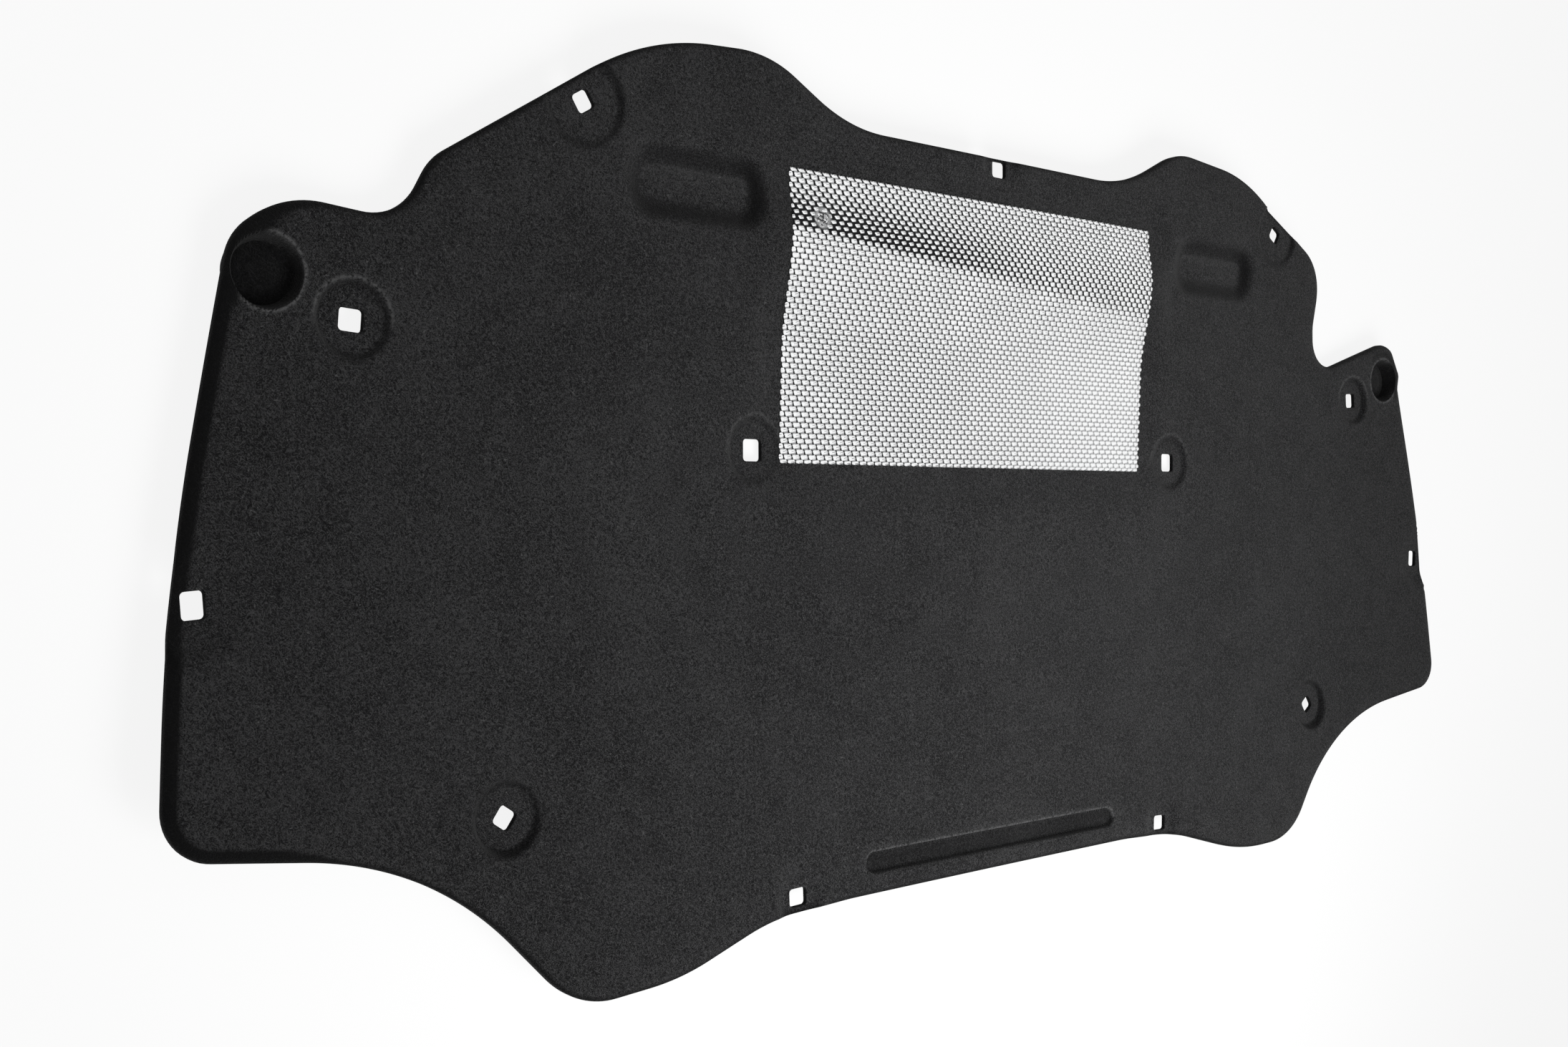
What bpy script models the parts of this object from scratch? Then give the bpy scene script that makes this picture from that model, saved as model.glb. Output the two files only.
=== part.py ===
# Hood insulation pad: one moulded felt sheet with an aluminium foil reflector bonded to its face.
# The pad lies on its back with the engine side up: +X across the car, +Y towards the windscreen.
# Lengths are millimetres in the pad's own datum until the meshes are written in metres.
import math

import bmesh
import bpy
import numpy as np
from mathutils.geometry import delaunay_2d_cdt

MM = 0.001

# Reach of the trimmed outline from the datum: the sides, the windscreen edge and the nose, and
# where the long sides bend.
# The ears, the rear and front lobes and their clips keep their distance from these.
SIDE_X = 660.0
WINDSCREEN_Y = 258.0
NOSE_Y = -313.0
SIDE_BEND_Y = -50.0

# Trimmed outline, clockwise from the nose on the left side: corner x, corner y, blend radius.
LEFT_CORNERS = (
    (-SIDE_X + 500, NOSE_Y, 300),
    (-SIDE_X + 424, NOSE_Y - 3, 180),
    (-SIDE_X + 341, NOSE_Y - 28, 200),
    (-SIDE_X + 258, NOSE_Y - 31, 66),
    (-SIDE_X + 160, NOSE_Y + 77, 225),
    (-SIDE_X - 2, NOSE_Y + 101, 30),
    (-SIDE_X + 7, SIDE_BEND_Y - 15, 1400),
    (-SIDE_X + 42, WINDSCREEN_Y - 127, 36),
    (-SIDE_X + 74, WINDSCREEN_Y - 102, 60),
    (-SIDE_X + 145, WINDSCREEN_Y - 108, 36),
    (-SIDE_X + 165, WINDSCREEN_Y - 68, 40),
    (-SIDE_X + 319, WINDSCREEN_Y + 33, 195),
    (-SIDE_X + 419, WINDSCREEN_Y + 40, 100),
    (-SIDE_X + 498, WINDSCREEN_Y, 150),
)
# The right side runs on from the windscreen edge and has the deeper hinge notch.
RIGHT_CORNERS = (
    (SIDE_X - 504, WINDSCREEN_Y, 150),
    (SIDE_X - 433, WINDSCREEN_Y + 38, 75),
    (SIDE_X - 332, WINDSCREEN_Y + 30, 180),
    (SIDE_X - 193, WINDSCREEN_Y - 40, 45),
    (SIDE_X - 194, WINDSCREEN_Y - 74, 40),
    (SIDE_X - 198, WINDSCREEN_Y - 100, 40),
    (SIDE_X - 193, WINDSCREEN_Y - 147, 28),
    (SIDE_X - 74, WINDSCREEN_Y - 108, 28),
    (SIDE_X - 58, WINDSCREEN_Y - 115, 12),
    (SIDE_X - 43, WINDSCREEN_Y - 140, 8),
    (SIDE_X - 45, WINDSCREEN_Y - 154, 8),
    (SIDE_X - 2, SIDE_BEND_Y, 900),
    (SIDE_X, NOSE_Y + 103, 30),
    (SIDE_X - 171, NOSE_Y + 77, 235),
    (SIDE_X - 259, NOSE_Y - 28, 75),
    (SIDE_X - 338, NOSE_Y - 30, 220),
    (SIDE_X - 434, NOSE_Y - 2, 220),
    (SIDE_X - 500, NOSE_Y + 1, 300),
)

# Felt: full thickness, thickness where it is pressed hard, and the rolled front edge.
FELT_THICKNESS = 7.0
PRESSED_THICKNESS = 3.5
EDGE_ROLL_WIDTH = 9.0

# Shallow dish of the whole pad, measured at the half width and the half depth.
BOW_HALF_WIDTH = SIDE_X - 20.0
BOW_HALF_DEPTH = WINDSCREEN_Y - 8.0
SIDE_RISE = 15.0
END_RISE = 12.5
WINDSCREEN_LIFT = 4.7
NOSE_LIFT = 8.8

# Foil reflector
FOIL_X = -10.0
FOIL_Y = WINDSCREEN_Y - 141.5
FOIL_LENGTH = 413.0
FOIL_WIDTH = 215.0
FOIL_THICKNESS = 0.8
BOND_GAP = 0.3

# Basin that the foil lies in, and the roll of felt across it that the foil is bent over.
BASIN_DEPTH = 3.0
BASIN_MARGIN = 8.0
BASIN_WALL = 26.0
RIDGE_Y = FOIL_Y + 56.5
RIDGE_HEIGHT = 8.0
RIDGE_REAR = 50.0
RIDGE_FRONT = 78.0
RIDGE_END = 30.0

# Groove along the nose.
SLOT_Y = NOSE_Y + 23.5
SLOT_LENGTH = 286.0
SLOT_WIDTH = 14.0
SLOT_WALL = 1.5

# Clip holes, each pair mirrored: x, y, turn in degrees, width, height, radius of the level seat.
FOIL_CLIP_GAP = 23.5
FOIL_CLIP_X = FOIL_LENGTH / 2 + abs(FOIL_X) + FOIL_CLIP_GAP
CLIP_PAIRS = (
    (SIDE_X - 271, WINDSCREEN_Y - 17, -32, 13, 13, 26),
    (FOIL_CLIP_X, FOIL_Y - 97.5, 0, 16, 16, 20),
    (SIDE_X - 20, SIDE_BEND_Y - 26, -4, 13, 16, 24),
    (SIDE_X - 213, NOSE_Y + 96, 35, 13, 13, 20),
    (SLOT_LENGTH / 2 + 67, NOSE_Y + 9, -2, 15, 13, 18),
)
CENTRE_CLIP = (0, WINDSCREEN_Y - 8, 0, 15, 13, 18)
HOLE_CORNER_RADIUS = 2.5
SEAT_WALL = 4.5

# The rear ears: a clip hole and a round recess over the bump stop. The right ear is narrower.
EAR_CLIP = (SIDE_X - 115, WINDSCREEN_Y - 170, 4, 15, 14, 20)
RIGHT_EAR_INSET = 11.0
CUP_X = SIDE_X - 63.0
CUP_Y = WINDSCREEN_Y - 147.0
CUP_RADIUS = 21.5
CUP_DEPTH = 12.0
CUP_WALL = 3.0

# Pressed pockets beside the foil: the size of the flat floor, and the soft wall round it.
POCKET_X = FOIL_LENGTH / 2 + 88.5
POCKET_Y = FOIL_Y + 81.5
POCKET_LENGTH = 88.0
POCKET_WIDTH = 21.0
POCKET_CORNER_RADIUS = 6.0
POCKET_DEPTH = 7.0
POCKET_WALL = 20.0

# Mesh fineness: chord errors, then steps along the outline, round the relief and over the field.
CHORD_ERROR = 0.15
RELIEF_CHORD_ERROR = 0.35
EDGE_STEP = 27.0
BOX_STEP = 18.0
SLOT_STEP = 8.0
SEAT_STEP = 6.5
CUP_STEP = 4.5
BACK_COARSENESS = 1.4
FIELD_STEP = 36.0
BACK_FIELD_STEP = 44.0
FOIL_ROWS = 30
FOIL_COLUMNS = 8
RIDGE_END_COLUMNS = 3
RIDGE_END_STEP = 16.0
FRONT_POCKET_STEPS = 4
BACK_POCKET_STEPS = 3
EDGE_ROLL_RINGS = (0.3, 1.0)

# How near a point may come to others, as shares of the wall or step that it helps to draw.
WALL_SHARE = 0.65
STEP_SHARE = 0.45
HOLE_CLEARANCE = 1.0
SLIVER_AREA = 1e-6
# Most that one rounding may take of its shorter side, and two of the side between them.
LONGEST_REACH = 0.95
LONGEST_PAIR = 0.998

SHARP_ANGLE = 35.0
FELT_COLOUR = (0.026, 0.026, 0.027, 1.0)
FELT_ROUGHNESS = 0.95
FOIL_COLOUR = (0.91, 0.92, 0.93, 1.0)
FOIL_ROUGHNESS = 0.3


def clear_scene():
    for item in list(bpy.data.objects):
        bpy.data.objects.remove(item, do_unlink=True)


def smooth(t):
    t = np.clip(t, 0.0, 1.0)
    return t * t * (3.0 - 2.0 * t)


def mix(a, b, share):
    return a + (b - a) * share


def arc_points(centre, radius, start, sweep, chord_error):
    """Points along an arc whose chords stay within chord_error of it."""
    step = 2.0 * math.acos(max(0.0, 1.0 - chord_error / radius))
    count = max(2, math.ceil(abs(sweep) / step))
    angles = start + sweep * np.arange(count + 1) / count
    return centre + radius * np.stack((np.cos(angles), np.sin(angles)), axis=1)


def corner_reaches(corners):
    """How far each rounding runs along its sides. Two that would overlap share their side out."""
    spots = np.array(corners, float)
    ahead = np.roll(spots[:, :2], -1, axis=0) - spots[:, :2]
    length = np.hypot(ahead[:, 0], ahead[:, 1])
    ahead /= length[:, None]
    turn = np.arccos(np.clip(np.sum(ahead * np.roll(ahead, 1, axis=0), axis=1), -1.0, 1.0))
    reach = spots[:, 2] * np.tan(turn / 2)
    reach = np.minimum(reach, LONGEST_REACH * np.minimum(length, np.roll(length, 1)))
    room = LONGEST_PAIR * length / (reach + np.roll(reach, -1))
    return reach * np.minimum(1.0, np.minimum(room, np.roll(room, 1)))


def blended_loop(corners, chord_error):
    """Closed path through the corners, each rounded by its own radius as far as its sides reach."""
    pieces = []
    reaches = corner_reaches(corners)
    for index, (x, y, _) in enumerate(corners):
        corner = np.array((x, y), float)
        before = np.array(corners[index - 1][:2], float) - corner
        after = np.array(corners[(index + 1) % len(corners)][:2], float) - corner
        before /= np.hypot(*before)
        after /= np.hypot(*after)
        half_turn = 0.5 * (math.pi - math.acos(np.clip(before @ after, -1.0, 1.0)))
        reach = reaches[index]
        radius = reach / math.tan(half_turn)
        middle = (before + after) / np.hypot(*(before + after))
        centre = corner + middle * math.hypot(radius, reach)
        first = corner + before * reach - centre
        last = corner + after * reach - centre
        start = math.atan2(first[1], first[0])
        sweep = math.remainder(math.atan2(last[1], last[0]) - start, 2.0 * math.pi)
        pieces.append(arc_points(centre, radius, start, sweep, chord_error))
    return np.concatenate(pieces)


def split_long(loop, limit):
    """The same closed loop with no stretch longer than limit."""
    pieces = []
    for start, end in zip(loop, np.roll(loop, -1, axis=0)):
        count = max(1, math.ceil(np.hypot(*(end - start)) / limit))
        pieces.append(start + (end - start) * (np.arange(count) / count)[:, None])
    return np.concatenate(pieces)


def box_corners(length, width, radius):
    """Corners of a rectangle about the origin, anticlockwise."""
    half_length, half_width = length / 2, width / 2
    return (
        (-half_length, -half_width, radius),
        (half_length, -half_width, radius),
        (half_length, half_width, radius),
        (-half_length, half_width, radius),
    )


def turned(points, degrees, centre):
    angle = math.radians(degrees)
    spin = np.array(((math.cos(angle), math.sin(angle)), (-math.sin(angle), math.cos(angle))))
    return points @ spin + np.array(centre, float)


def hole_loop(clip):
    x, y, turn, width, height, _ = clip
    corners = box_corners(width, height, HOLE_CORNER_RADIUS)
    return turned(blended_loop(corners, RELIEF_CHORD_ERROR), turn, (x, y))


def all_clips():
    pairs = list(CLIP_PAIRS) + [EAR_CLIP]
    mirrored = [(-x, y, -turn, width, height, seat) for x, y, turn, width, height, seat in pairs]
    right_ear = (EAR_CLIP[0] - RIGHT_EAR_INSET,) + EAR_CLIP[1:]
    return list(CLIP_PAIRS) + [right_ear] + mirrored + [CENTRE_CLIP]


def cup_centres():
    return ((-CUP_X, CUP_Y), (CUP_X - RIGHT_EAR_INSET, CUP_Y))


def pocket_centres():
    return ((-POCKET_X, POCKET_Y), (POCKET_X, POCKET_Y))


def distance_to_box(x, y, centre, length, width, radius):
    """Signed distance to a rectangle with rounded corners, negative inside."""
    reach_x = np.abs(x - centre[0]) - (length / 2 - radius)
    reach_y = np.abs(y - centre[1]) - (width / 2 - radius)
    outside = np.hypot(np.maximum(reach_x, 0.0), np.maximum(reach_y, 0.0))
    return outside + np.minimum(np.maximum(reach_x, reach_y), 0.0) - radius


def distance_to_loop(points, loop):
    """Distance from each point to the nearest stretch of a closed loop."""
    start = loop[None, :, :]
    along = np.roll(loop, -1, axis=0)[None, :, :] - start
    offset = points[:, None, :] - start
    share = np.sum(offset * along, axis=2) / np.maximum(np.sum(along * along, axis=2), SLIVER_AREA)
    nearest = offset - along * np.clip(share, 0.0, 1.0)[:, :, None]
    return np.sqrt(np.min(np.sum(nearest * nearest, axis=2), axis=1))


def is_inside(points, loop):
    """True for the points that a closed loop goes round."""
    x, y = points[:, :1], points[:, 1:]
    start = loop[None, :, :]
    end = np.roll(loop, -1, axis=0)[None, :, :]
    spans = (start[..., 1] > y) != (end[..., 1] > y)
    rise = np.where(end[..., 1] == start[..., 1], 1.0, end[..., 1] - start[..., 1])
    crossing = start[..., 0] + (y - start[..., 1]) * (end[..., 0] - start[..., 0]) / rise
    return np.sum(spans & (x < crossing), axis=1) % 2 == 1


def distances(some, others):
    gap = some[:, None, :] - others[None, :, :]
    return np.sqrt(np.sum(gap * gap, axis=2))


def bow(x, y):
    """Shallow dish of the whole pad: the sides, both ends and most of all the nose corners rise."""
    across = x / BOW_HALF_WIDTH
    along = y / BOW_HALF_DEPTH
    dish = SIDE_RISE * across**4 + END_RISE * along**2
    return dish + WINDSCREEN_LIFT * along - NOSE_LIFT * across**2 * along


def foil_relief(x, y):
    """The basin that the foil lies in, and the long ridge that it is bent over."""
    ridge_side = np.where(y > RIDGE_Y, RIDGE_REAR, RIDGE_FRONT)
    lobe = 0.5 + 0.5 * np.cos(math.pi * np.clip((y - RIDGE_Y) / ridge_side, -1.0, 1.0))
    past_end = np.abs(x - FOIL_X) - FOIL_LENGTH / 2 - BASIN_MARGIN
    ridge = RIDGE_HEIGHT * lobe * (1.0 - smooth(past_end / RIDGE_END))
    length = FOIL_LENGTH + 2 * BASIN_MARGIN
    width = FOIL_WIDTH + 2 * BASIN_MARGIN
    past_basin = distance_to_box(x, y, (FOIL_X, FOIL_Y), length, width, BASIN_MARGIN)
    return ridge - BASIN_DEPTH * (1.0 - smooth(past_basin / BASIN_WALL))


def pocket_relief(x, y):
    relief = 0.0
    for centre in pocket_centres():
        past = distance_to_box(x, y, centre, POCKET_LENGTH, POCKET_WIDTH, POCKET_CORNER_RADIUS)
        relief = relief - POCKET_DEPTH * (1.0 - smooth(past / POCKET_WALL))
    return relief


def moulded_height(x, y):
    """The form that both faces share, before seats, cups and the groove are pressed into it."""
    return bow(x, y) + foil_relief(x, y) + pocket_relief(x, y)


def seat_shares(x, y):
    """For each clip, the level of its seat and how far a point belongs to it, from 0 to 1."""
    for seat_x, seat_y, _, _, _, flat in all_clips():
        share = 1.0 - smooth((np.hypot(x - seat_x, y - seat_y) - flat) / SEAT_WALL)
        yield bow(seat_x, seat_y), share


def back_height(x, y):
    """Height of the face towards the hood. Clip seats are level and the cups stand out of it."""
    height = moulded_height(x, y)
    for level, share in seat_shares(x, y):
        height = mix(height, level, share)
    for cup_x, cup_y in cup_centres():
        past = np.hypot(x - cup_x, y - cup_y) - CUP_RADIUS
        floor = bow(cup_x, cup_y) + FELT_THICKNESS - CUP_DEPTH - PRESSED_THICKNESS
        height = mix(height, floor, 1.0 - smooth(past / CUP_WALL))
    return height


def front_height(x, y, edge_distance):
    """Height of the engine side: the felt's thickness over the back, pressed thin where it must be."""
    roll = np.clip(1.0 - edge_distance / EDGE_ROLL_WIDTH, 0.0, 1.0)
    thickness = mix(PRESSED_THICKNESS, FELT_THICKNESS, np.sqrt(1.0 - roll * roll))
    slot_past = distance_to_box(x, y, (0.0, SLOT_Y), SLOT_LENGTH, SLOT_WIDTH, SLOT_WIDTH / 2)
    thickness = mix(thickness, PRESSED_THICKNESS, 1.0 - smooth(slot_past / SLOT_WALL))
    height = moulded_height(x, y)
    for level, share in seat_shares(x, y):
        height = mix(height, level, share)
        thickness = mix(thickness, PRESSED_THICKNESS, share)
    height = height + thickness
    for cup_x, cup_y in cup_centres():
        past = np.hypot(x - cup_x, y - cup_y) - CUP_RADIUS + CUP_WALL
        floor = bow(cup_x, cup_y) + FELT_THICKNESS - CUP_DEPTH
        height = mix(height, floor, 1.0 - smooth(past / CUP_WALL))
    return height


def ring(centre, radius, step):
    count = max(12, 2 * math.ceil(math.pi * radius / step))
    angles = 2.0 * math.pi * np.arange(count) / count
    return np.array(centre, float) + radius * np.stack((np.cos(angles), np.sin(angles)), axis=1)


def box_ring(centre, length, width, radius, offset, step=BOX_STEP):
    grown = box_corners(length + 2 * offset, width + 2 * offset, radius + offset)
    return split_long(blended_loop(grown, RELIEF_CHORD_ERROR), step) + np.array(centre, float)


def hex_grid(low, high, step):
    """Points of a triangular grid between two corners."""
    rows = []
    for index, y in enumerate(np.arange(low[1], high[1], step * math.sqrt(3.0) / 2.0)):
        x = np.arange(low[0] + (index % 2) * step / 2.0, high[0], step)
        rows.append(np.stack((x, np.full(len(x), y)), axis=1))
    return np.concatenate(rows)


def foil_grid():
    """Rows and columns of points over the foil, shared by the foil and the felt under it."""
    x = FOIL_X + FOIL_LENGTH * (np.arange(FOIL_COLUMNS + 1) / FOIL_COLUMNS - 0.5)
    y = FOIL_Y + FOIL_WIDTH * (np.arange(FOIL_ROWS + 1) / FOIL_ROWS - 0.5)
    columns, rows = np.meshgrid(x, y)
    return np.stack((columns, rows), axis=2)


def foil_links():
    """Index pairs along the foil grid's rows and columns."""
    index = np.arange((FOIL_ROWS + 1) * (FOIL_COLUMNS + 1)).reshape(FOIL_ROWS + 1, FOIL_COLUMNS + 1)
    across = np.stack((index[:, :-1].ravel(), index[:, 1:].ravel()), axis=1)
    along = np.stack((index[:-1].ravel(), index[1:].ravel()), axis=1)
    return np.concatenate((across, along))


def edge_rings(outline):
    """Copies of the outline moved inwards, which draw the rolled edge, with their spacing."""
    tangent = np.roll(outline, -1, axis=0) - np.roll(outline, 1, axis=0)
    tangent /= np.hypot(tangent[:, 0], tangent[:, 1])[:, None]
    inward = np.stack((tangent[:, 1], -tangent[:, 0]), axis=1)
    spacing = WALL_SHARE * EDGE_ROLL_WIDTH * EDGE_ROLL_RINGS[0]
    return [(outline + inward * EDGE_ROLL_WIDTH * share, spacing) for share in EDGE_ROLL_RINGS]


def ridge_end_columns():
    """Extra columns of points where the ridge and the basin run out past the foil."""
    columns = []
    y = np.arange(FOIL_Y - FOIL_WIDTH / 2, FOIL_Y + FOIL_WIDTH / 2, RIDGE_END_STEP)
    for number in range(RIDGE_END_COLUMNS):
        reach = FOIL_LENGTH / 2 + BASIN_MARGIN + RIDGE_END * (number + 1) / RIDGE_END_COLUMNS
        for side in (-1, 1):
            columns.append(np.stack((np.full(len(y), FOIL_X + side * reach), y), axis=1))
    return np.concatenate(columns), WALL_SHARE * RIDGE_END / RIDGE_END_COLUMNS


def seat_rings(coarseness):
    rings = []
    for x, y, _, _, _, flat in all_clips():
        for radius in (flat, flat + SEAT_WALL):
            rings.append((ring((x, y), radius, SEAT_STEP * coarseness), WALL_SHARE * SEAT_WALL))
    return rings


def cup_rings(radii, coarseness):
    rings = []
    for centre in cup_centres():
        for radius in radii:
            rings.append((ring(centre, radius, CUP_STEP * coarseness), WALL_SHARE * CUP_WALL))
    return rings


def pocket_rings(steps):
    """Loops round each pocket that share its wall's width out into equal steps."""
    rings = []
    for centre in pocket_centres():
        for number in range(steps + 1):
            offset = POCKET_WALL * number / steps
            sized = box_ring(centre, POCKET_LENGTH, POCKET_WIDTH, POCKET_CORNER_RADIUS, offset)
            rings.append((sized, WALL_SHARE * POCKET_WALL / steps))
    return rings


def slot_rings():
    rings = []
    for offset in (0.0, SLOT_WALL):
        sized = box_ring((0.0, SLOT_Y), SLOT_LENGTH, SLOT_WIDTH, SLOT_WIDTH / 2, offset, SLOT_STEP)
        rings.append((sized, WALL_SHARE * SLOT_WALL))
    return rings


def basin_rings():
    rings = []
    for offset in (BASIN_MARGIN + BASIN_WALL / 3, BASIN_MARGIN + BASIN_WALL):
        sized = box_ring((FOIL_X, FOIL_Y), FOIL_LENGTH, FOIL_WIDTH, BASIN_MARGIN, offset)
        rings.append((sized, WALL_SHARE * BASIN_WALL / 3))
    return rings


def field(outline, step):
    grid = hex_grid(outline.min(axis=0), outline.max(axis=0), step)
    return grid, STEP_SHARE * step


def front_families(outline):
    """Groups of points that carry the engine side's relief, with the spacing each one keeps."""
    families = cup_rings((CUP_RADIUS, CUP_RADIUS - CUP_WALL, CUP_RADIUS / 2), 1.0)
    families += seat_rings(1.0) + slot_rings() + edge_rings(outline)
    families += pocket_rings(FRONT_POCKET_STEPS) + basin_rings()
    families += [ridge_end_columns(), field(outline, FIELD_STEP)]
    return families


def back_families(outline):
    """Groups of points that carry the relief of the face towards the hood."""
    families = seat_rings(BACK_COARSENESS)
    families += cup_rings((CUP_RADIUS, CUP_RADIUS + CUP_WALL), BACK_COARSENESS)
    families += pocket_rings(BACK_POCKET_STEPS)
    rows = foil_grid()[::2].reshape(-1, 2)
    families.append((rows, WALL_SHARE * FOIL_WIDTH / FOIL_ROWS))
    families += [ridge_end_columns(), field(outline, BACK_FIELD_STEP)]
    return families


def add_free_points(points, families, outline, holes):
    """Adds each family's points that lie on material and clear of every point already there."""
    for family, spacing in families:
        keep = is_inside(family, outline) & (distance_to_loop(family, outline) > WALL_SHARE * spacing)
        for hole in holes:
            keep &= ~is_inside(family, hole) & (distance_to_loop(family, hole) > HOLE_CLEARANCE)
        family = family[keep]
        if len(family) == 0:
            continue
        family = family[distances(family, points).min(axis=1) > spacing]
        earlier = np.tril(distances(family, family) < spacing / 2, -1)
        points = np.concatenate((points, family[~earlier.any(axis=1)]))
    return points


def triangulate(points, links, outline, holes):
    """Triangles over the material between the outline and the holes, anticlockwise from above."""
    placed, _, faces, sources, _, _ = delaunay_2d_cdt(
        points.tolist(), links.tolist(), [], 0, SLIVER_AREA, True
    )
    index_of = [source[0] for source in sources]
    faces = np.array([[index_of[corner] for corner in face] for face in faces])
    assert len(placed) == len(points)
    corners = points[faces]
    middles = corners.mean(axis=1)
    side_a = corners[:, 1] - corners[:, 0]
    side_b = corners[:, 2] - corners[:, 0]
    area = side_a[:, 0] * side_b[:, 1] - side_a[:, 1] * side_b[:, 0]
    # Points in line along a straight edge span triangles of no area, which aren't material.
    keep = is_inside(middles, outline) & (area > SLIVER_AREA)
    for hole in holes:
        keep &= ~is_inside(middles, hole)
    return faces[keep]


def loop_links(loops):
    """Index pairs round each loop of one joined list of points."""
    links = []
    start = 0
    for loop in loops:
        index = start + np.arange(len(loop))
        links.append(np.stack((index, np.roll(index, -1)), axis=1))
        start += len(loop)
    return np.concatenate(links)


def felt_body(outline, holes):
    """Vertices and faces of the closed felt sheet."""
    loops = [outline] + holes
    boundary = np.concatenate(loops)
    links = loop_links(loops)

    front = np.concatenate((boundary, foil_grid().reshape(-1, 2)))
    front_links = np.concatenate((links, foil_links() + len(boundary)))
    front = add_free_points(front, front_families(outline), outline, holes)
    front_faces = triangulate(front, front_links, outline, holes)

    back = add_free_points(boundary, back_families(outline), outline, holes)
    back_faces = triangulate(back, links, outline, holes) + len(front)

    front_z = front_height(front[:, 0], front[:, 1], distance_to_loop(front, outline))
    back_z = back_height(back[:, 0], back[:, 1])
    vertices = np.concatenate((np.column_stack((front, front_z)), np.column_stack((back, back_z))))
    under = links + len(front)
    walls = np.column_stack((links[:, 0], links[:, 1], under[:, 1], under[:, 0]))
    faces = front_faces.tolist() + back_faces[:, ::-1].tolist() + walls.tolist()
    return vertices, faces


def foil_body(outline):
    """Vertices and faces of the foil, a closed sheet that follows the felt under it."""
    grid = foil_grid().reshape(-1, 2)
    base = front_height(grid[:, 0], grid[:, 1], distance_to_loop(grid, outline)) + BOND_GAP
    top = np.column_stack((grid, base + FOIL_THICKNESS))
    bottom = np.column_stack((grid, base))
    index = np.arange(len(grid)).reshape(FOIL_ROWS + 1, FOIL_COLUMNS + 1)
    cells = np.stack((index[:-1, :-1], index[:-1, 1:], index[1:, 1:], index[1:, :-1]), axis=-1)
    cells = cells.reshape(-1, 4)
    rim = np.concatenate((index[0, :], index[1:, -1], index[-1, -2::-1], index[-2:0:-1, 0]))
    after = np.roll(rim, -1)
    walls = np.stack((after, rim, rim + len(grid), after + len(grid)), axis=1)
    faces = cells.tolist() + (cells[:, ::-1] + len(grid)).tolist() + walls.tolist()
    return np.concatenate((top, bottom)), faces


def make_material(name, colour, roughness, metallic):
    material = bpy.data.materials.new(name)
    material.use_nodes = True
    shader = material.node_tree.nodes["Principled BSDF"]
    shader.inputs["Base Color"].default_value = colour
    shader.inputs["Roughness"].default_value = roughness
    shader.inputs["Metallic"].default_value = metallic
    return material


def make_object(name, vertices, faces, shift, material):
    mesh = bpy.data.meshes.new(name)
    mesh.from_pydata(((vertices + shift) * MM).tolist(), [], faces)
    shape = bmesh.new()
    shape.from_mesh(mesh)
    bmesh.ops.recalc_face_normals(shape, faces=shape.faces)
    shape.to_mesh(mesh)
    shape.free()
    mesh.shade_smooth()
    mesh.set_sharp_from_angle(angle=math.radians(SHARP_ANGLE))
    mesh.materials.append(material)
    item = bpy.data.objects.new(name, mesh)
    bpy.context.scene.collection.objects.link(item)
    return item


def build():
    clear_scene()
    outline = split_long(blended_loop(LEFT_CORNERS + RIGHT_CORNERS, CHORD_ERROR), EDGE_STEP)
    holes = [hole_loop(clip) for clip in all_clips()]
    felt_vertices, felt_faces = felt_body(outline, holes)
    foil_vertices, foil_faces = foil_body(outline)
    # The origin goes to the middle of the pad's box, at the level of its lowest point.
    low, high = felt_vertices.min(axis=0), felt_vertices.max(axis=0)
    shift = -np.array(((low[0] + high[0]) / 2, (low[1] + high[1]) / 2, low[2]))
    felt = make_material("felt", FELT_COLOUR, FELT_ROUGHNESS, 0.0)
    foil = make_material("foil", FOIL_COLOUR, FOIL_ROUGHNESS, 1.0)
    make_object("felt_pad", felt_vertices, felt_faces, shift, felt)
    make_object("foil_reflector", foil_vertices, foil_faces, shift, foil)
    print("pad datum moved by", shift.round(4).tolist())


build()
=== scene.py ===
import math

import bpy
import numpy as np
from mathutils import Euler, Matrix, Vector
from mathutils.geometry import delaunay_2d_cdt


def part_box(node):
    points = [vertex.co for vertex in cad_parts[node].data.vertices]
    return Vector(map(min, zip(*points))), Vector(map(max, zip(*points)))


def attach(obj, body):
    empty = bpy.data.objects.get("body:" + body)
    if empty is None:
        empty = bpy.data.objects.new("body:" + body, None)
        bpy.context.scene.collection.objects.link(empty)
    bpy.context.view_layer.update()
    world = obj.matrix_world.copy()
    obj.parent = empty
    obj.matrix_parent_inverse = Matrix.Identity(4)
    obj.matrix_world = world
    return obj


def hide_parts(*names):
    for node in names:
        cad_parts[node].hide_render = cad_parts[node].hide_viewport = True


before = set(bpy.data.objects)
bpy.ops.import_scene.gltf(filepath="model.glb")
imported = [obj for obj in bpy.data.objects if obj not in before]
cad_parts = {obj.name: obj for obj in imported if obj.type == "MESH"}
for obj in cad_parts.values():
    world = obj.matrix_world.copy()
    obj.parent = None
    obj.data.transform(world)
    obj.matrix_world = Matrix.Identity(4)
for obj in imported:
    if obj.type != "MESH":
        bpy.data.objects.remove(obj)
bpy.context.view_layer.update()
mm = 0.001

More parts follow.
